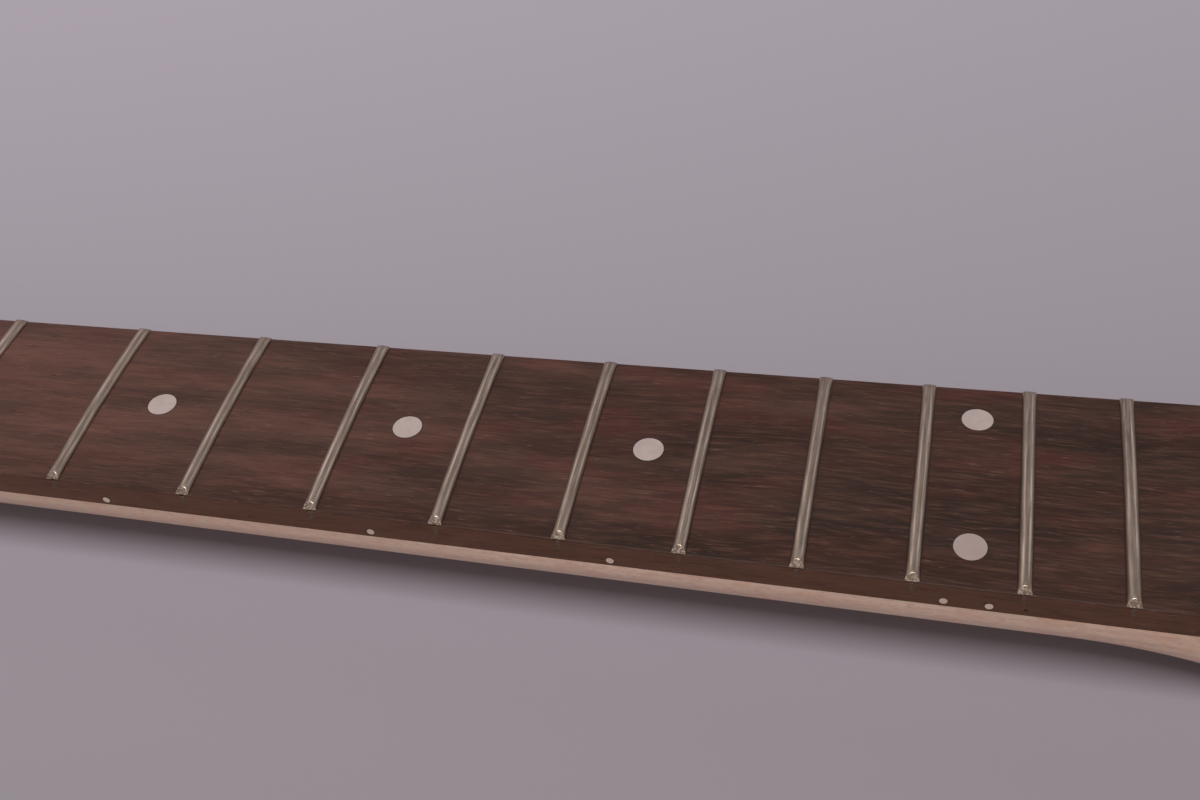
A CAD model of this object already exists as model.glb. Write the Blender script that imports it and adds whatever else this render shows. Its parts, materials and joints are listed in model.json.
"""The looks of a bolt-on electric guitar neck: oiled rosewood on satin maple, with wire frets and
let-in dots."""

import json
import math

import bmesh
import bpy
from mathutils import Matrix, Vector

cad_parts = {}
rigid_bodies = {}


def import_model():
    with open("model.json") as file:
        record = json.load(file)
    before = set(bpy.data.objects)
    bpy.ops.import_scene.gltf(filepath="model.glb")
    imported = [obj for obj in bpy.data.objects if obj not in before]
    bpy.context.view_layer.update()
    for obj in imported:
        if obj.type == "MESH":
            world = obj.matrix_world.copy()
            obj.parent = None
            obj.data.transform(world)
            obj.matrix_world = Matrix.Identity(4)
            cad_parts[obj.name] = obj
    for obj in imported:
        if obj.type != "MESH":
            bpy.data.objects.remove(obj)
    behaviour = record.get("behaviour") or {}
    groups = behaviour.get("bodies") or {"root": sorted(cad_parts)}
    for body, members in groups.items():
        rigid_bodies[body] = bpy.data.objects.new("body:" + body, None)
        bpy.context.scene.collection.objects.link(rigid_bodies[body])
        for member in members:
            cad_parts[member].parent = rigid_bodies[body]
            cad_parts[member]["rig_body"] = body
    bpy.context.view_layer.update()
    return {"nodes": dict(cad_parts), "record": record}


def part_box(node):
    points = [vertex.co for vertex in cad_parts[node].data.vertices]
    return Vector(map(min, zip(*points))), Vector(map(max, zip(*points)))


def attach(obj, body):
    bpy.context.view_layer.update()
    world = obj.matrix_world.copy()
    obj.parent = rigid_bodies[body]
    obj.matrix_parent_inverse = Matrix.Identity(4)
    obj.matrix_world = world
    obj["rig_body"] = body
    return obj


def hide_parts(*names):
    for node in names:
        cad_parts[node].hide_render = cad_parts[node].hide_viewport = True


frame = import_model()

MM = 0.001

# Fretboard
NUT_WIDTH = 42 * MM
OCTAVE_WIDTH = 50.8 * MM
BOARD_RADIUS = 350 * MM
BOARD_BEHIND_NUT = 8 * MM
BOARD_EDGE_RADIUS = 0.5 * MM
RAMP_RADIUS = 30 * MM
NUT_SLOT_DEPTH = 3.4 * MM
FRET_SLOT_WIDTH = 0.7 * MM
FRET_SLOT_DEPTH = 3.2 * MM

# Fret wire
CROWN_WIDTH = 2.8 * MM
CROWN_HEIGHT = 1.25 * MM
TANG_WIDTH = 0.5 * MM
TANG_DEPTH = 1.6 * MM
TANG_END_INSET = 0.6 * MM
FRET_SEAT = 0.05 * MM
FRET_END_INSET = 0.1 * MM
FRET_END_BEVEL = math.radians(40)
FRET_RIM = 0.12 * MM

# Dots, the glue round them, the pinhole beside them, and the filled ends of the frets' slots
FACE_DOT_DIAMETER = 6 * MM
FACE_DOT_THICKNESS = 1.6 * MM
SIDE_DOT_DIAMETER = 1.5 * MM
SIDE_DOT_LENGTH = 2.4 * MM
DOT_PROUD = 0.03 * MM
GLUE_RING = 0.16 * MM
GLUE_DEPTH = 0.5 * MM
GLUE_PROUD = 0.012 * MM
PINHOLE_DIAMETER = 0.7 * MM
PINHOLE_FROM_DOT = 6.3 * MM
PINHOLE_ABOVE_DOT = 0.2 * MM
FILLER_UP_EDGE = 0.2 * MM

# Eased edges, the corners that are eased or kept sharp, and those too flat to keep
NUT_EASED = 0.15 * MM
METAL_EASED = 0.2 * MM
EASED_CORNER = math.radians(35)
SHARP_CORNER = math.radians(32)
FLAT_CORNER = math.radians(0.2)

# How finely curves are drawn
BEVEL_STEPS = 2
EASED_STEPS = 4
BOARD_CROWN_STEPS = 16
RAMP_STEPS = 12
WIRE_STEPS = 25
WIRE_ARC_STEPS = 24
DISC_STEPS = 48
MERGE_DISTANCE = 0.001 * MM

# Where a tone starts and where it is full. Towards the nut, the board gets paler and the maple
# darker. The board is dark along its bass edge. Patches of the grain shift where it gets paler and
# how far in it is dark. The dots on its lower half are aged.
PALE_BOARD = (-310 * MM, -490 * MM)
PALE_SHIFT = -300 * MM
DARK_STRIP = (12 * MM, 8.5 * MM)
DARK_SHIFT = 8 * MM
DARK_MAPLE = (-170 * MM, -330 * MM)
AGED_DOTS = (-8 * MM, -12 * MM)

# How far the fretboard's growth rings lean, in degrees, and where the maple's have their middle
RIFT = 28
MAPLE_HEART = (0, 14 * MM, -70 * MM)

# The values between which nearly all of a noise pattern lies, and how much of a relief is drawn
NOISE_LOW = 0.3
NOISE_HIGH = 0.7
RELIEF = 0.5

# How much rougher the filed ends of the frets are than their crowns
FILED_ROUGHER = 0.18

# The photograph's camera: its place in the neck's frame, its turn, its lens on a sensor's width in
# millimetres, and the nearest that it sees
CAMERA_PLACE = Vector((-118.27, -195.08, 237.24)) * MM
CAMERA_TURN = (math.radians(45.519), math.radians(5.420), math.radians(12.316))
CAMERA_LENS = 45
CAMERA_SENSOR = 36
CAMERA_NEAR = 10 * MM

# Floor: it gets paler from front to back, across a line that leans with X. Past the lit part, it
# fades into the backdrop's tone.
FLOOR_REACH = 8
FLOOR_NEAR = "#898088"
FLOOR_FAR = "#b5abbb"
FLOOR_LEAN = -0.3
FLOOR_FRONT = -78 * MM
FLOOR_BACK = 322 * MM
BACKDROP = "#a59ba8"
LIT_CENTRE = (-0.19, 0, 0)
LIT_REACH = 0.3
FADE_REACH = 0.75

# Light from all round, and soft lamps: name, place, target, size, strength in watts a square
# metre, and colour. Two light the neck from above and from the front. Two weak ones behind it
# show in the frets.
WORLD_COLOUR = "#f8ffd6"
WORLD_STRENGTH = 0.165
LAMPS = [
    ("ceiling_lamp", (-0.15, -0.42, 1.6), (-0.15, 0, 0), 0.85, 29, "#ffffff"),
    ("front_lamp", (-0.3, -1.25, 0.6), (-0.05, 0, 0), 1.2, 2.3, "#ffffff"),
    ("left_window", (-0.9, 0.8, 0.9), (-0.25, 0, 0), 0.6, 2.4, "#fff0ea"),
    ("right_window", (0.7, 0.9, 0.7), (0, 0, 0), 0.45, 2.2, "#ffffff"),
]

FRET_COUNT = 22
OCTAVE_FRET = 12
FRET_NODES = [f"fret_{number:02d}" for number in range(1, FRET_COUNT + 1)]
FACE_DOT_NODES = [name for name in frame["nodes"] if name.startswith("face_dot")]
SIDE_DOT_NODES = [name for name in frame["nodes"] if name.startswith("side_dot")]


def middle(node):
    """The middle of a CAD node's box."""
    low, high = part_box(node)
    return (low + high) / 2


MOUNTS = {mount["name"]: mount["pos_m"] for mount in frame["record"]["mounts"]}
HEAD_FACE = MOUNTS["headstock_face"][2]
BOARD_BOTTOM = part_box("fretboard")[0].z
BOARD_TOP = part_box("fretboard")[1].z
BOARD_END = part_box("fretboard")[1].x
NUT_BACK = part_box("nut")[0].x
NUT_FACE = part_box("nut")[1].x
FRET_PLACES = [middle(name).x for name in FRET_NODES]
TAPER = (OCTAVE_WIDTH - NUT_WIDTH) / (FRET_PLACES[OCTAVE_FRET - 1] - NUT_FACE)


def board_width(x):
    """Width of the fretboard at a place along the neck."""
    return NUT_WIDTH + TAPER * (x - NUT_FACE)


def crown_height(y):
    """Height of the fretboard's round top at a distance from its middle."""
    return BOARD_TOP - BOARD_RADIUS + math.sqrt(BOARD_RADIUS**2 - y**2)


# Helpers


def linear(colour):
    """An sRGB hex colour as linear RGBA."""
    shares = [int(colour[i : i + 2], 16) / 255 for i in (1, 3, 5)]
    return [s / 12.92 if s <= 0.04045 else ((s + 0.055) / 1.055) ** 2.4 for s in shares] + [1]


def add(tree, kind, inputs=(), **settings):
    """Adds a node with its settings. An input gets a value, or a socket that is linked to it."""
    node = tree.nodes.new(kind)
    for name, value in settings.items():
        setattr(node, name, value)
    for name, value in dict(inputs).items():
        if isinstance(value, bpy.types.NodeSocket):
            tree.links.new(value, node.inputs[name])
        else:
            node.inputs[name].default_value = value
    return node


def new_material(name):
    """A material with an empty node tree."""
    material = bpy.data.materials.new(name)
    material.use_nodes = True
    material.node_tree.nodes.clear()
    return material, material.node_tree


def end_material(tree, finish):
    """Ends a material's tree with a surface shader that has these inputs."""
    surface = add(tree, "ShaderNodeBsdfPrincipled", finish).outputs[0]
    add(tree, "ShaderNodeOutputMaterial", {"Surface": surface})


def grain(tree, place, size, detail, seed=0, tilt=0):
    """A noise pattern whose marks are about size long along X, Y and Z, in millimetres, tilted
    round X by degrees."""
    size = [length * MM for length in size]
    spread = {"Vector": place, "Rotation": (math.radians(tilt), 0, 0), "Scale": size}
    spread = add(tree, "ShaderNodeMapping", spread, vector_type="TEXTURE").outputs[0]
    noise = {"Vector": spread, "W": seed, "Scale": 1, "Detail": detail}
    return add(tree, "ShaderNodeTexNoise", noise, noise_dimensions="4D").outputs[0]


def layer(tree, under, colour, pattern, start, full, share=1.0):
    """Lays a colour over another, up to a share of it, as a pattern goes from start to full."""
    amount = {"Value": pattern, "From Min": start, "From Max": full, "To Max": share}
    amount = add(tree, "ShaderNodeMapRange", amount).outputs[0]
    # The colours of this node are its inputs 6 and 7 and its output 2.
    mix = {0: amount, 6: under, 7: linear(colour)}
    return add(tree, "ShaderNodeMix", mix, data_type="RGBA").outputs[2]


def layers(tree, ground, rows):
    """Lays rows over a ground colour in turn. A row is a colour, its pattern, where that starts and
    is full, and the colour's share."""
    under = linear(ground)
    for row in rows:
        under = layer(tree, under, *row)
    return under


def worked_surface(tree, pattern, rough, smooth, depth):
    """Roughness and relief from a noise pattern. Its hollows are rough, and its heights smooth."""
    span = {"Value": pattern, "From Min": NOISE_LOW, "From Max": NOISE_HIGH}
    span.update({"To Min": rough, "To Max": smooth})
    bump = {"Height": pattern, "Distance": depth, "Strength": RELIEF}
    roughness = add(tree, "ShaderNodeMapRange", span).outputs[0]
    return {"Roughness": roughness, "Normal": add(tree, "ShaderNodeBump", bump).outputs[0]}


def sideways_share(tree, start, full):
    """How far a surface faces along Y, from none at start to all of it at full."""
    facing = add(tree, "ShaderNodeNewGeometry").outputs["True Normal"]
    facing = add(tree, "ShaderNodeSeparateXYZ", {0: facing}).outputs[1]
    facing = add(tree, "ShaderNodeMath", {0: facing}, operation="ABSOLUTE").outputs[0]
    share = {"Value": facing, "From Min": start, "From Max": full}
    return add(tree, "ShaderNodeMapRange", share).outputs[0]


def growth_rings(tree, place, heart, width, waver):
    """Rings round the tree's heart, an axis along X through a point, that darken outwards to sharp
    edges."""
    centred = {"Vector": place, "Location": heart}
    centred = add(tree, "ShaderNodeMapping", centred, vector_type="TEXTURE").outputs[0]
    rings = {"Vector": centred, "Scale": math.pi / (10 * width), "Distortion": waver}
    rings.update({"Detail": 1, "Detail Scale": 0.1})
    kind = {"wave_type": "RINGS", "rings_direction": "X", "wave_profile": "SAW"}
    return add(tree, "ShaderNodeTexWave", rings, **kind).outputs["Fac"]


def grain_place(tree, reach, length):
    """The piece's own coordinates, which sway sideways along the neck as grown wood does."""
    place = add(tree, "ShaderNodeTexCoord").outputs["Object"]
    sway = {"Vector": place, "Scale": 1 / length, "Detail": 1}
    sway = add(tree, "ShaderNodeTexNoise", sway).outputs[1]
    sway = {0: sway, 1: (0.5, 0.5, 0.5)}
    sway = add(tree, "ShaderNodeVectorMath", sway, operation="SUBTRACT").outputs[0]
    sway = {0: sway, 1: (0, reach, reach), 2: place}
    return add(tree, "ShaderNodeVectorMath", sway, operation="MULTIPLY_ADD").outputs[0]


# Materials


def oiled_rosewood():
    """Rosewood, planed, sanded and oiled. Dark brown with red zones, long soft bands and streaks,
    fine fibres, short pale flecks and dark open pores along the neck, under a low satin sheen. It
    is paler and redder towards the nut, in patches, and dark in an uneven strip along the bass
    edge. The rolled edges and the sides, which show the edge of the grain, are a warmer brown. The
    finest fibres and pores are half as wide as these, and are drawn coarser to show."""
    material, tree = new_material("oiled_rosewood")
    place = grain_place(tree, reach=5 * MM, length=70 * MM)
    zones = grain(tree, place, (48, 10, 36), 2, 0, RIFT)
    red = grain(tree, place, (28, 6, 24), 2, 7, RIFT)
    bands = grain(tree, place, (45, 6, 28), 1, 3, RIFT)
    patches = grain(tree, place, (38, 7, 28), 2, 23, RIFT)
    streaks = grain(tree, place, (14, 1.1, 3), 3, 14, RIFT)
    fibre = grain(tree, place, (6, 0.42, 0.42), 2, 11)
    flecks = grain(tree, place, (3.5, 0.24, 0.24), 1, 19)
    pores = grain(tree, place, (3, 0.22, 0.22), 1, 29)
    across = add(tree, "ShaderNodeSeparateXYZ", {0: place}).outputs
    along = {0: patches, 1: PALE_SHIFT, 2: across[0]}
    along = add(tree, "ShaderNodeMath", along, operation="MULTIPLY_ADD").outputs[0]
    # Half the taper times X, plus Y, is the same all along the bass edge.
    inwards = {0: across[0], 1: TAPER / 2, 2: across[1]}
    inwards = add(tree, "ShaderNodeMath", inwards, operation="MULTIPLY_ADD").outputs[0]
    inwards = {0: patches, 1: DARK_SHIFT, 2: inwards}
    inwards = add(tree, "ShaderNodeMath", inwards, operation="MULTIPLY_ADD").outputs[0]
    dark_strip = [TAPER / 2 * NUT_FACE - NUT_WIDTH / 2 + width for width in DARK_STRIP]
    edges = sideways_share(tree, 0.1, 0.5)
    sides = sideways_share(tree, 0.9, 0.995)
    rows = [
        ("#38251e", zones, 0.4, 0.54),
        ("#552a25", red, 0.46, 0.66, 0.5),
        ("#714d45", along, *PALE_BOARD, 0.62),
        ("#26160f", bands, 0.54, 0.34, 0.33),
        ("#2b160c", inwards, *dark_strip, 0.5),
        ("#3f2117", edges, 0, 1, 0.5),
        ("#74503f", sides, 0, 1, 0.5),
        ("#735043", streaks, 0.5, 0.72, 0.24),
        ("#231510", streaks, 0.5, 0.3, 0.16),
        ("#6b483c", fibre, 0.5, 0.7, 0.3),
        ("#1f130e", fibre, 0.48, 0.3, 0.26),
        ("#8d7063", flecks, 0.66, 0.76, 0.34),
        ("#1e100a", pores, 0.64, 0.72, 0.45),
    ]
    colour = layers(tree, "#2b1c15", rows)
    opened = {"Value": pores, "From Min": 0.72, "From Max": 0.63}
    opened = add(tree, "ShaderNodeMapRange", opened).outputs[0]
    finish = {"Base Color": colour, "IOR": 1.5, "Specular IOR Level": 0.2}
    finish.update(worked_surface(tree, opened, rough=0.66, smooth=0.55, depth=0.04 * MM))
    end_material(tree, finish)
    return material


def satin_maple():
    """Hard maple, sanded fine under a thin satin lacquer. Pale pinkish beige with growth rings and
    long soft streaks, small orange mottles in wider blushes, fine fibres and short darker flecks.
    It is a little darker towards the nut. Real fibres are finer, and are drawn coarser to show."""
    material, tree = new_material("satin_maple")
    place = grain_place(tree, reach=3 * MM, length=120 * MM)
    clouds = grain(tree, place, (34, 7, 7), 2)
    along = add(tree, "ShaderNodeSeparateXYZ", {0: place}).outputs[0]
    mottles = grain(tree, place, (2, 1, 1), 2, 21)
    blushes = grain(tree, place, (6, 3, 3), 1, 31)
    rings = growth_rings(tree, place, MAPLE_HEART, width=2.6 * MM, waver=3)
    streaks = grain(tree, place, (120, 1.8, 1.8), 3, 5)
    fibre = grain(tree, place, (16, 0.4, 0.4), 2, 9)
    flecks = grain(tree, place, (1.4, 0.3, 0.3), 1, 13)
    rows = [
        ("#f0cebc", clouds, 0.35, 0.62),
        ("#c7a692", along, *DARK_MAPLE, 0.5),
        ("#d99780", mottles, 0.46, 0.68, 0.42),
        ("#e0987f", blushes, 0.5, 0.68, 0.3),
        ("#cda88f", rings, 0.3, 1, 0.24),
        ("#c9a58d", streaks, 0.5, 0.66, 0.16),
        ("#c2a591", fibre, 0.35, 0.7, 0.25),
        ("#b2836a", flecks, 0.6, 0.72, 0.5),
    ]
    finish = {"Base Color": layers(tree, "#e4c2b0", rows), "IOR": 1.5}
    finish.update({"Coat Weight": 0.15, "Coat Roughness": 0.35})
    finish.update(worked_surface(tree, fibre, rough=0.5, smooth=0.38, depth=0.02 * MM))
    end_material(tree, finish)
    return material


def polished_fret_wire():
    """Nickel silver fret wire, levelled and polished by hand: warm grey, with fine marks along each
    fret. Its ends, filed to a bevel, are left rougher and duller. Marks and file scratches are a
    tenth as wide on real wire, and are drawn coarser to show."""
    material, tree = new_material("nickel_silver")
    place = add(tree, "ShaderNodeTexCoord").outputs["Object"]
    marks = grain(tree, place, (0.4, 9, 0.4), 3)
    stains = grain(tree, place, (6, 6, 6), 2, 5)
    scratches = grain(tree, place, (0.4, 0.4, 0.4), 2, 8)
    filed = sideways_share(tree, 0.4, 0.6)
    scratched = {0: filed, 1: scratches}
    scratched = add(tree, "ShaderNodeMath", scratched, operation="MULTIPLY").outputs[0]
    rows = [
        ("#bbae9a", marks, 0.38, 0.62),
        ("#9a8d79", stains, 0.55, 0.7, 0.35),
        ("#6b5548", scratched, 0.36, 0.56, 0.85),
    ]
    finish = {"Base Color": layers(tree, "#928572", rows), "Metallic": 1}
    finish.update(worked_surface(tree, marks, rough=0.36, smooth=0.27, depth=0.02 * MM))
    roughness = {0: filed, 1: FILED_ROUGHER, 2: finish["Roughness"]}
    roughness = add(tree, "ShaderNodeMath", roughness, operation="MULTIPLY_ADD").outputs[0]
    finish["Roughness"] = roughness
    end_material(tree, finish)
    return material


def worked_metal(name, bright, dull, roughness, mark, depth):
    """A metal with fine marks of its making, drawn coarser than real ones to show. Mark is their
    size along X, Y and Z, in millimetres."""
    material, tree = new_material(name)
    place = add(tree, "ShaderNodeTexCoord").outputs["Object"]
    marks = grain(tree, place, mark, 3)
    stains = grain(tree, place, (6, 6, 6), 2, 5)
    rows = [(bright, marks, 0.38, 0.62), (dull, stains, 0.55, 0.7, 0.35)]
    finish = {"Base Color": layers(tree, dull, rows), "Metallic": 1}
    span = {"rough": roughness * 1.2, "smooth": roughness * 0.85}
    finish.update(worked_surface(tree, marks, **span, depth=depth))
    end_material(tree, finish)
    return material


def sanded_acrylic(name, pale, dark, aged=None):
    """Acrylic rod, sanded flush with the wood: matte off-white, with faint clouds, and with sanding
    scratches that are drawn coarser than real ones to show. Dots on the bass half can be aged
    browner, as the face's lower dot at the octave is."""
    material, tree = new_material(name)
    place = add(tree, "ShaderNodeTexCoord").outputs["Object"]
    clouds = grain(tree, place, (2.2, 2.2, 2.2), 2)
    scratches = grain(tree, place, (5, 0.15, 0.15), 2, 4)
    rows = [(dark, clouds, 0.4, 0.65), (dark, scratches, 0.6, 0.75, 0.5)]
    if aged:
        y = add(tree, "ShaderNodeSeparateXYZ", {0: place}).outputs[1]
        rows.append((aged, y, *AGED_DOTS, 0.6))
    finish = {"Base Color": layers(tree, pale, rows), "IOR": 1.49}
    finish.update(worked_surface(tree, scratches, rough=0.5, smooth=0.36, depth=0.005 * MM))
    end_material(tree, finish)
    return material


def polished_bone():
    """Bone, filed and polished: warm ivory with faint clouds and short grey-brown fibres, which are
    drawn coarser than real ones to show."""
    material, tree = new_material("polished_bone")
    place = add(tree, "ShaderNodeTexCoord").outputs["Object"]
    clouds = grain(tree, place, (5, 9, 5), 2)
    fibres = grain(tree, place, (0.25, 2.4, 0.25), 1, 6)
    rows = [("#d8cab0", clouds, 0.4, 0.65), ("#b3a488", fibres, 0.64, 0.75, 0.4)]
    finish = {"Base Color": layers(tree, "#e4dac6", rows), "IOR": 1.54}
    finish.update(worked_surface(tree, fibres, rough=0.4, smooth=0.26, depth=0.01 * MM))
    end_material(tree, finish)
    return material


def wood_dust_glue(name, dark, pale):
    """Rosewood dust set in glue, which fills gaps in a fretboard: dull, dark and gritty. The grit
    is drawn coarser than real dust to show."""
    material, tree = new_material(name)
    place = add(tree, "ShaderNodeTexCoord").outputs["Object"]
    grit = grain(tree, place, (0.3, 0.3, 0.3), 2)
    finish = {"Base Color": layers(tree, dark, [(pale, grit, 0.4, 0.62)])}
    finish.update(worked_surface(tree, grit, rough=0.75, smooth=0.5, depth=0.03 * MM))
    end_material(tree, finish)
    return material


ROSEWOOD = oiled_rosewood()
MAPLE = satin_maple()
FACE_ACRYLIC = sanded_acrylic("sanded_acrylic", "#b39f9d", "#aa9896", "#967f7c")
SIDE_ACRYLIC = sanded_acrylic("cream_acrylic", "#d7bcab", "#cdb2a1")
BONE = polished_bone()
GLUE = wood_dust_glue("dark_glue", "#140c0a", "#211512")
FILLER = wood_dust_glue("wood_dust_filler", "#45332a", "#5e4a3a")
FRET_WIRE = polished_fret_wire()
# Sawn brass: yellow, with marks across it
BRASS = worked_metal("sawn_brass", "#c79a52", "#98763f", 0.38, (0.2, 5, 5), 0.03 * MM)
# Turned steel: grey, with marks round its length
STEEL = worked_metal("turned_steel", "#9a9b9e", "#6d6e72", 0.35, (0.2, 4, 4), 0.02 * MM)


# Pieces


def finish_piece(piece, material, nodes):
    """Shades a piece smooth but for its sharp corners, gives it its material, and lets it ride in
    its nodes' place."""
    mesh = piece.data
    if not mesh.materials:
        mesh.materials.append(material)
    mesh.shade_smooth()
    mesh.set_sharp_from_angle(angle=SHARP_CORNER)
    if piece.name not in bpy.context.scene.collection.objects:
        bpy.context.scene.collection.objects.link(piece)
    even = piece.modifiers.new("even_normals", "WEIGHTED_NORMAL")
    even.keep_sharp = True
    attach(piece, frame["nodes"][nodes[0]]["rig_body"])
    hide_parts(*nodes)


def mesh_object(work, name):
    """A new object from a bmesh."""
    mesh = bpy.data.meshes.new(name)
    work.to_mesh(mesh)
    work.free()
    return bpy.data.objects.new(name, mesh)


def ease_edges(piece, width):
    """Rounds a piece's sharp edges by a bevel."""
    edge = piece.modifiers.new("eased_edges", "BEVEL")
    edge.width = width
    edge.segments = BEVEL_STEPS
    edge.limit_method = "ANGLE"
    edge.angle_limit = EASED_CORNER


def dress(node, name, material, eased=0.0):
    """A merged copy of a CAD node in its own finish, with its edges eased by a width."""
    work = bmesh.new()
    work.from_mesh(frame["nodes"][node].data)
    bmesh.ops.remove_doubles(work, verts=work.verts, dist=MERGE_DISTANCE)
    corners = {"verts": work.verts, "edges": work.edges}
    bmesh.ops.dissolve_limit(work, angle_limit=FLAT_CORNER, **corners)
    piece = mesh_object(work, name)
    if eased:
        ease_edges(piece, eased)
    finish_piece(piece, material, [node])


def board_profile(x, ceiling):
    """The fretboard's top points at x, from its bass to its treble edge, none above the ceiling."""
    shoulder = board_width(x) / 2 - BOARD_EDGE_RADIUS
    centre = crown_height(shoulder) - BOARD_EDGE_RADIUS
    half = []
    for step in range(EASED_STEPS + 1):
        angle = math.radians(90) * step / EASED_STEPS
        y = shoulder + BOARD_EDGE_RADIUS * math.cos(angle)
        half.append((y, centre + BOARD_EDGE_RADIUS * math.sin(angle)))
    for step in range(1, BOARD_CROWN_STEPS + 1):
        y = shoulder * (1 - step / BOARD_CROWN_STEPS)
        half.append((y, crown_height(y)))
    other = [(-y, z) for y, z in reversed(half[:-1])]
    return [(x, -y, min(z, ceiling)) for y, z in half + other]


def board_sections():
    """Places along the fretboard, with the height left there by the ramp and by the slots for nut
    and frets."""
    ramp_centre = HEAD_FACE + RAMP_RADIUS
    ramp_end = NUT_FACE - BOARD_BEHIND_NUT
    ramp_foot = ramp_end - math.sqrt(RAMP_RADIUS**2 - (ramp_centre - BOARD_TOP) ** 2)
    start = ramp_foot + math.sqrt(RAMP_RADIUS**2 - (ramp_centre - BOARD_BOTTOM) ** 2)
    sections = []
    for step in range(RAMP_STEPS + 1):
        x = start + (ramp_end - start) * step / RAMP_STEPS
        sections.append((x, ramp_centre - math.sqrt(RAMP_RADIUS**2 - (x - ramp_foot) ** 2)))
    slots = [(NUT_BACK, NUT_FACE, BOARD_TOP - NUT_SLOT_DEPTH)]
    half = FRET_SLOT_WIDTH / 2
    slots += [(place - half, place + half, BOARD_TOP - FRET_SLOT_DEPTH) for place in FRET_PLACES]
    for back, front, floor in slots:
        sections += [(back, BOARD_TOP), (back, floor), (front, floor), (front, BOARD_TOP)]
    return sections + [(BOARD_END, BOARD_TOP)]


def make_fretboard():
    """The fretboard: a radiused top with rolled edges, a ramp at the head, and slots for nut and
    frets."""
    work = bmesh.new()
    tops, feet = [], []
    for x, ceiling in board_sections():
        profile = board_profile(x, ceiling)
        tops.append([work.verts.new(point) for point in profile])
        feet.append([work.verts.new((x, y, BOARD_BOTTOM)) for x, y, z in profile])
    strips = [(near, far) for rows in (tops, feet) for near, far in zip(rows, rows[1:])]
    strips += [(tops[end], feet[end]) for end in (0, -1)]
    for side in (0, -1):
        strips.append(([top[side] for top in tops], [foot[side] for foot in feet]))
    for near, far in strips:
        for corners in zip(near, near[1:], far[1:], far):
            work.faces.new(corners)
    bmesh.ops.remove_doubles(work, verts=work.verts, dist=MERGE_DISTANCE)
    bmesh.ops.dissolve_degenerate(work, edges=work.edges, dist=MERGE_DISTANCE)
    bmesh.ops.recalc_face_normals(work, faces=work.faces)
    board = mesh_object(work, "rosewood_fretboard")
    finish_piece(board, ROSEWOOD, ["fretboard"])


def geometry_tree(name, sizes):
    """A geometry node tree with a named input for each size, and its input sockets."""
    tree = bpy.data.node_groups.new(name, "GeometryNodeTree")
    tree.interface.new_socket("Geometry", in_out="INPUT", socket_type="NodeSocketGeometry")
    tree.interface.new_socket("Geometry", in_out="OUTPUT", socket_type="NodeSocketGeometry")
    for label in sizes:
        tree.interface.new_socket(label, in_out="INPUT", socket_type="NodeSocketFloat")
    return tree, add(tree, "NodeGroupInput").outputs


def end_tree(tree, geometry, material):
    """Ends a tree: its copies are made real and get their material."""
    real = add(tree, "GeometryNodeRealizeInstances", {0: geometry}).outputs[0]
    painted = add(tree, "GeometryNodeSetMaterial", {0: real, "Material": material}).outputs[0]
    add(tree, "NodeGroupOutput", {0: painted})


def grow(tree, sizes, points, half_widths=(), rim=0.0):
    """Runs a tree with its sizes on loose points, bevels what it made by a rim, and keeps the plain
    mesh."""
    mesh = bpy.data.meshes.new(tree.name)
    mesh.from_pydata(points, [], [])
    if half_widths:
        reach = mesh.attributes.new("half_width", "FLOAT", "POINT")
        reach.data.foreach_set("value", half_widths)
    piece = bpy.data.objects.new(tree.name, mesh)
    bpy.context.scene.collection.objects.link(piece)
    modifier = piece.modifiers.new("grow", "NODES")
    modifier.node_group = tree
    for item in tree.interface.items_tree:
        if item.in_out == "INPUT" and item.name in sizes:
            modifier[item.identifier] = sizes[item.name]
    if rim:
        ease_edges(piece, rim)
    graph = bpy.context.evaluated_depsgraph_get()
    grown = bpy.data.meshes.new_from_object(piece.evaluated_get(graph))
    piece.modifiers.clear()
    piece.data = grown
    return piece


def point_place(tree):
    """X, Y and Z of each point."""
    place = add(tree, "GeometryNodeInputPosition").outputs[0]
    return add(tree, "ShaderNodeSeparateXYZ", {0: place}).outputs


def board_reach(tree, inset):
    """How far a fret goes from the board's middle, short of its edge by an inset."""
    half = {"Name": "half_width"}
    half = add(tree, "GeometryNodeInputNamedAttribute", half, data_type="FLOAT").outputs[0]
    return add(tree, "ShaderNodeMath", {0: half, 1: inset}, operation="SUBTRACT").outputs[0]


def on_crown(tree, sockets, geometry, y):
    """Lifts a flat shape onto the board's round top, with its points at y. The top is drawn as a
    parabola, which keeps within a few thousandths of a millimetre of its arc."""
    x, _, z = point_place(tree)
    drop = add(tree, "ShaderNodeMath", {0: y, 1: y}, operation="MULTIPLY").outputs[0]
    drop = {0: drop, 1: sockets["Board radius"]}
    drop = add(tree, "ShaderNodeMath", drop, operation="DIVIDE").outputs[0]
    lift = {0: drop, 1: -0.5, 2: sockets["Board top"]}
    lift = add(tree, "ShaderNodeMath", lift, operation="MULTIPLY_ADD").outputs[0]
    height = add(tree, "ShaderNodeMath", {0: z, 1: lift}).outputs[0]
    place = add(tree, "ShaderNodeCombineXYZ", {0: x, 1: y, 2: height}).outputs[0]
    return add(tree, "GeometryNodeSetPosition", {0: geometry, "Position": place}).outputs[0]


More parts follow.
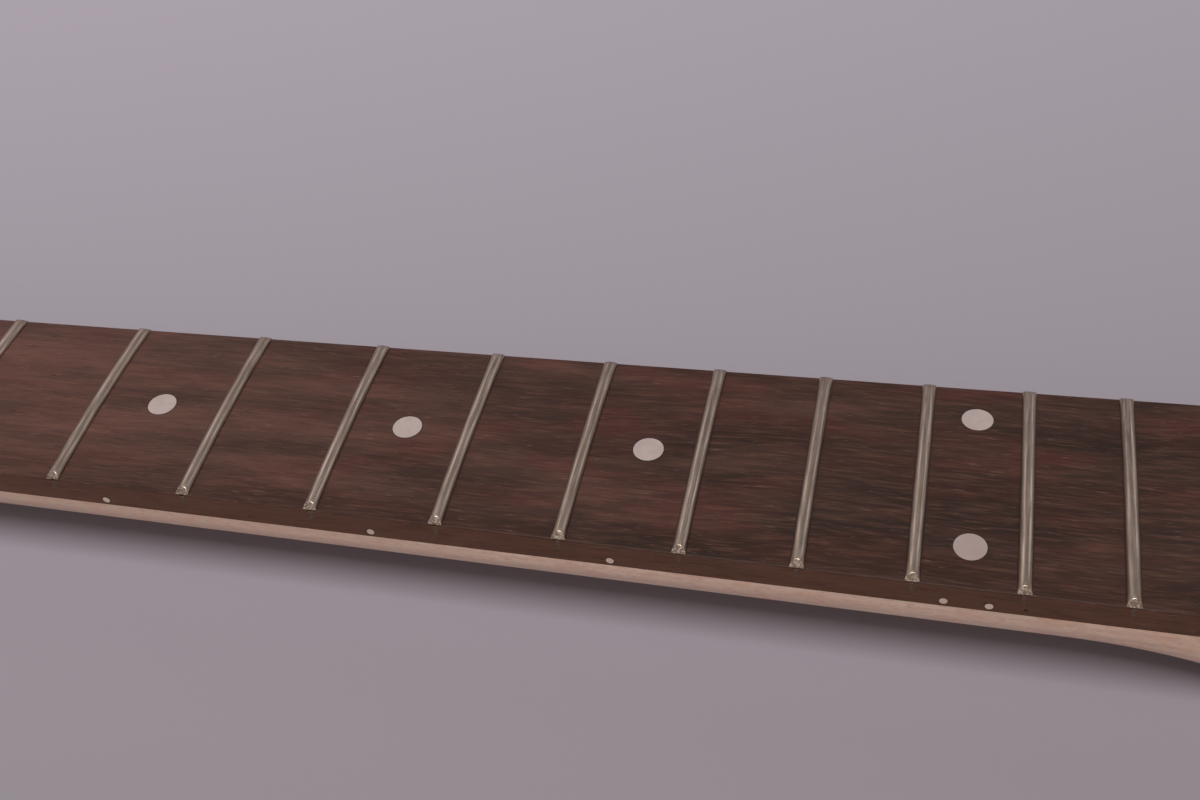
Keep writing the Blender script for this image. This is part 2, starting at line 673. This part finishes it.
def drawn_wire(tree, sockets, section, inset):
    """A section drawn straight across the board at each point, up to an inset from its edges."""
    reach = board_reach(tree, inset)
    line = {"Start": (0, -1, 0), "End": (0, 1, 0)}
    line = add(tree, "GeometryNodeCurvePrimitiveLine", line).outputs[0]
    line = {"Curve": line, "Count": WIRE_STEPS}
    line = add(tree, "GeometryNodeResampleCurve", line).outputs[0]
    scale = add(tree, "ShaderNodeCombineXYZ", {0: 1, 1: reach, 2: 1}).outputs[0]
    lines = {"Points": sockets["Geometry"], "Instance": line, "Scale": scale}
    lines = add(tree, "GeometryNodeInstanceOnPoints", lines).outputs[0]
    lines = add(tree, "GeometryNodeRealizeInstances", {0: lines}).outputs[0]
    lines = add(tree, "GeometryNodeSetCurveNormal", {0: lines}, mode="Z_UP").outputs[0]
    wire = {"Curve": lines, "Profile Curve": section, "Fill Caps": True}
    return add(tree, "GeometryNodeCurveToMesh", wire).outputs[0]


def make_frets():
    """Wire frets: round crowns with ends filed to a bevel, on tangs that stand in the board's
    slots."""
    sizes = {
        "Board radius": BOARD_RADIUS,
        "Board top": BOARD_TOP + FRET_SEAT,
        "Crown width": CROWN_WIDTH,
        "Crown height": CROWN_HEIGHT,
        "End inset": FRET_END_INSET,
        "End lean": math.tan(FRET_END_BEVEL),
        "Tang width": TANG_WIDTH,
        "Tang depth": TANG_DEPTH,
        "Tang inset": TANG_END_INSET,
    }
    tree, sockets = geometry_tree("wire_frets", sizes)
    # A drawn section comes out upside down, so both are laid out hanging.
    side = {0: sockets["Crown width"], 1: 0.5}
    side = add(tree, "ShaderNodeMath", side, operation="MULTIPLY").outputs[0]
    right = add(tree, "ShaderNodeCombineXYZ", {0: side}).outputs[0]
    left = {0: right, "Scale": -1}
    left = add(tree, "ShaderNodeVectorMath", left, operation="SCALE").outputs[0]
    top = {0: sockets["Crown height"], 1: -1}
    top = add(tree, "ShaderNodeMath", top, operation="MULTIPLY").outputs[0]
    top = add(tree, "ShaderNodeCombineXYZ", {1: top}).outputs[0]
    arc = {"Resolution": WIRE_ARC_STEPS, "Start": left, "Middle": top, "End": right}
    arc = add(tree, "GeometryNodeCurveArc", arc, mode="POINTS").outputs[0]
    crown = add(tree, "GeometryNodeSetSplineCyclic", {0: arc, "Cyclic": True}).outputs[0]
    crowns = drawn_wire(tree, sockets, crown, sockets["End inset"])
    # The ends are filed back by the height times the bevel's lean.
    _, y, z = point_place(tree)
    inset = {0: z, 1: sockets["End lean"], 2: sockets["End inset"]}
    inset = add(tree, "ShaderNodeMath", inset, operation="MULTIPLY_ADD").outputs[0]
    reach = board_reach(tree, inset)
    back = add(tree, "ShaderNodeMath", {0: reach, 1: -1}, operation="MULTIPLY").outputs[0]
    filed = add(tree, "ShaderNodeClamp", {"Value": y, "Min": back, "Max": reach}).outputs[0]
    crowns = on_crown(tree, sockets, crowns, filed)
    tang = {"Width": sockets["Tang width"], "Height": sockets["Tang depth"]}
    tang = add(tree, "GeometryNodeCurvePrimitiveQuadrilateral", tang).outputs[0]
    drop = {0: sockets["Tang depth"], 1: 0.5}
    drop = add(tree, "ShaderNodeMath", drop, operation="MULTIPLY").outputs[0]
    drop = add(tree, "ShaderNodeCombineXYZ", {1: drop}).outputs[0]
    tang = add(tree, "GeometryNodeSetPosition", {0: tang, "Offset": drop}).outputs[0]
    tangs = drawn_wire(tree, sockets, tang, sockets["Tang inset"])
    tangs = on_crown(tree, sockets, tangs, y)
    both = add(tree, "GeometryNodeJoinGeometry", {0: crowns})
    tree.links.new(tangs, both.inputs[0])
    end_tree(tree, both.outputs[0], FRET_WIRE)
    half_widths = [board_width(x) / 2 for x in FRET_PLACES]
    frets = grow(tree, sizes, [(x, 0, 0) for x in FRET_PLACES], half_widths, FRET_RIM)
    finish_piece(frets, FRET_WIRE, FRET_NODES)


def make_plugs(name, points, radius, depth, proud, material, in_side):
    """Round plugs let into the board at points, proud of its round top or of its bass side."""
    sizes = {
        "Board radius": BOARD_RADIUS,
        "Board top": BOARD_TOP,
        "Radius": radius,
        "Depth": depth,
        "Proud": proud,
    }
    tree, sockets = geometry_tree(name, sizes)
    length = add(tree, "ShaderNodeMath", {0: sockets["Depth"], 1: sockets["Proud"]}).outputs[0]
    plug = {"Vertices": DISC_STEPS, "Radius": sockets["Radius"], "Depth": length}
    plug = add(tree, "GeometryNodeMeshCylinder", plug).outputs[0]
    sunk = {0: length, 1: -0.5, 2: sockets["Proud"]}
    sunk = add(tree, "ShaderNodeMath", sunk, operation="MULTIPLY_ADD").outputs[0]
    sunk = add(tree, "ShaderNodeCombineXYZ", {2: sunk}).outputs[0]
    plug = add(tree, "GeometryNodeSetPosition", {0: plug, "Offset": sunk}).outputs[0]
    turn = (math.radians(90 if in_side else 0), 0, 0)
    plugs = {"Points": sockets["Geometry"], "Instance": plug, "Rotation": turn}
    plugs = add(tree, "GeometryNodeInstanceOnPoints", plugs).outputs[0]
    if not in_side:
        plugs = add(tree, "GeometryNodeRealizeInstances", {0: plugs}).outputs[0]
        _, y, _ = point_place(tree)
        plugs = on_crown(tree, sockets, plugs, y)
    end_tree(tree, plugs, material)
    return grow(tree, sizes, points)


def make_dots():
    """Acrylic dots in the face and the bass side, each in a thin dark ring of glue, and a pinhole
    by the octave's side dots."""
    face_radius = FACE_DOT_DIAMETER / 2
    side_radius = SIDE_DOT_DIAMETER / 2
    faces = [(middle(node).x, middle(node).y, 0) for node in FACE_DOT_NODES]
    sides = [middle(node) for node in SIDE_DOT_NODES]
    hole = middle("side_dot_12_body") + Vector((PINHOLE_FROM_DOT, 0, PINHOLE_ABOVE_DOT))
    for point in sides + [hole]:
        point.y = -board_width(point.x) / 2
    for name, points, radius, depth, material, in_side, nodes in (
        ("face_dots", faces, face_radius, FACE_DOT_THICKNESS, FACE_ACRYLIC, False, FACE_DOT_NODES),
        ("side_dots", sides, side_radius, SIDE_DOT_LENGTH, SIDE_ACRYLIC, True, SIDE_DOT_NODES),
    ):
        dots = make_plugs(name, points, radius, depth, DOT_PROUD, material, in_side)
        finish_piece(dots, material, nodes)
    for name, points, radius, in_side in (
        ("face_dot_glue", faces, face_radius + GLUE_RING, False),
        ("side_dot_glue", sides, side_radius + GLUE_RING, True),
        ("side_pinhole", [hole], PINHOLE_DIAMETER / 2, True),
    ):
        glue = make_plugs(name, points, radius, GLUE_DEPTH, GLUE_PROUD, GLUE, in_side)
        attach(glue, "neck")


def make_slot_fillers():
    """Dust and glue in the open ends of each fret's slot, flush with the board's sides."""
    top = crown_height(OCTAVE_WIDTH / 2) - BOARD_EDGE_RADIUS + FILLER_UP_EDGE
    floor = BOARD_TOP - FRET_SLOT_DEPTH
    sizes = {"Width": FRET_SLOT_WIDTH, "Length": TANG_END_INSET, "Height": top - floor}
    tree, sockets = geometry_tree("slot_fillers", sizes)
    size = {0: sockets["Width"], 1: sockets["Length"], 2: sockets["Height"]}
    size = add(tree, "ShaderNodeCombineXYZ", size).outputs[0]
    plug = add(tree, "GeometryNodeMeshCube", {"Size": size}).outputs[0]
    plugs = {"Points": sockets["Geometry"], "Instance": plug}
    plugs = add(tree, "GeometryNodeInstanceOnPoints", plugs).outputs[0]
    end_tree(tree, plugs, FILLER)
    points = []
    for x in FRET_PLACES:
        y = board_width(x) / 2 - TANG_END_INSET / 2 + GLUE_PROUD
        points += [(x, y, (top + floor) / 2), (x, -y, (top + floor) / 2)]
    plugs = grow(tree, sizes, points)
    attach(plugs, "neck")


# Stage


def seen_share(tree):
    """1 for what the camera sees, straight, in a gloss or through glass, and 0 for other light."""
    path = add(tree, "ShaderNodeLightPath").outputs
    seen = {0: path["Is Camera Ray"], 1: path["Is Glossy Ray"]}
    seen = add(tree, "ShaderNodeMath", seen, operation="MAXIMUM").outputs[0]
    seen = {0: seen, 1: path["Is Transmission Ray"]}
    return add(tree, "ShaderNodeMath", seen, operation="MAXIMUM").outputs[0]


def make_floor():
    """A plain pale lilac-grey floor under the neck. Far off, where the lamps don't reach, the
    camera and reflections see the backdrop's even tone in its place."""
    material, tree = new_material("painted_floor")
    place = add(tree, "ShaderNodeTexCoord").outputs["Object"]
    x, y, _ = add(tree, "ShaderNodeSeparateXYZ", {0: place}).outputs
    back = {0: x, 1: FLOOR_LEAN, 2: y}
    back = add(tree, "ShaderNodeMath", back, operation="MULTIPLY_ADD").outputs[0]
    colour = layers(tree, FLOOR_NEAR, [(FLOOR_FAR, back, FLOOR_FRONT, FLOOR_BACK)])
    surface = {"Base Color": colour, "Roughness": 0.7}
    surface = add(tree, "ShaderNodeBsdfPrincipled", surface).outputs[0]
    even = add(tree, "ShaderNodeEmission", {0: linear(BACKDROP), 1: 1}).outputs[0]
    away = {0: place, 1: LIT_CENTRE}
    away = add(tree, "ShaderNodeVectorMath", away, operation="DISTANCE").outputs["Value"]
    far = {"Value": away, "From Min": LIT_REACH, "From Max": FADE_REACH}
    far = add(tree, "ShaderNodeMapRange", far, interpolation_type="SMOOTHSTEP").outputs[0]
    seen = {0: seen_share(tree), 1: far}
    seen = add(tree, "ShaderNodeMath", seen, operation="MULTIPLY").outputs[0]
    shown = add(tree, "ShaderNodeMixShader", {0: seen, 1: surface, 2: even}).outputs[0]
    add(tree, "ShaderNodeOutputMaterial", {"Surface": shown})
    reach = FLOOR_REACH
    corners = [(-reach, -reach, 0), (reach, -reach, 0), (reach, reach, 0), (-reach, reach, 0)]
    mesh = bpy.data.meshes.new("floor")
    mesh.from_pydata(corners, [], [(0, 1, 2, 3)])
    mesh.materials.append(material)
    floor = bpy.data.objects.new("floor", mesh)
    bpy.context.scene.collection.objects.link(floor)


def make_world():
    """An even pale light from all round, with the backdrop's tone where the camera sees it."""
    world = bpy.data.worlds.new("studio")
    world.use_nodes = True
    tree = world.node_tree
    tree.nodes.clear()
    light = {0: linear(WORLD_COLOUR), 1: WORLD_STRENGTH}
    light = add(tree, "ShaderNodeBackground", light).outputs[0]
    even = add(tree, "ShaderNodeBackground", {0: linear(BACKDROP), 1: 1}).outputs[0]
    shown = {0: seen_share(tree), 1: light, 2: even}
    shown = add(tree, "ShaderNodeMixShader", shown).outputs[0]
    add(tree, "ShaderNodeOutputWorld", {"Surface": shown})
    bpy.context.scene.world = world


def make_lamp(name, place, target, size, strength, colour):
    """A square soft lamp that faces a target, with its strength in watts a square metre."""
    lamp = bpy.data.lights.new(name, "AREA")
    lamp.shape = "SQUARE"
    lamp.size = size
    lamp.energy = strength * size**2
    lamp.color = linear(colour)[:3]
    light = bpy.data.objects.new(name, lamp)
    light.location = place
    facing = Vector(target) - Vector(place)
    light.rotation_euler = facing.to_track_quat("-Z", "Y").to_euler()
    bpy.context.scene.collection.objects.link(light)


def make_camera():
    """The photograph's view."""
    lens = bpy.data.cameras.new("photo_camera")
    lens.lens = CAMERA_LENS
    lens.sensor_width = CAMERA_SENSOR
    lens.clip_start = CAMERA_NEAR
    lens.clip_end = 2 * FLOOR_REACH
    camera = bpy.data.objects.new("photo_camera", lens)
    camera.location = CAMERA_PLACE
    camera.rotation_euler = CAMERA_TURN
    bpy.context.scene.collection.objects.link(camera)
    bpy.context.scene.camera = camera


dress("neck_shaft", "maple_neck", MAPLE)
make_fretboard()
make_frets()
make_dots()
make_slot_fillers()
dress("nut", "bone_nut", BONE, NUT_EASED)
for node, name, material, slot in (
    ("truss_block_head", "head_anchor", BRASS, "brass"),
    ("truss_block_heel", "heel_anchor", BRASS, "brass"),
    ("truss_flat_bar", "flat_bar", STEEL, "steel"),
    ("truss_rod", "round_rod", STEEL, "steel"),
    ("truss_adjusting_nut", "adjusting_nut", STEEL, "steel"),
):
    dress(node, name, material, METAL_EASED)

make_floor()
make_world()
for lamp in LAMPS:
    make_lamp(*lamp)
make_camera()
bpy.context.scene.view_settings.view_transform = "Standard"
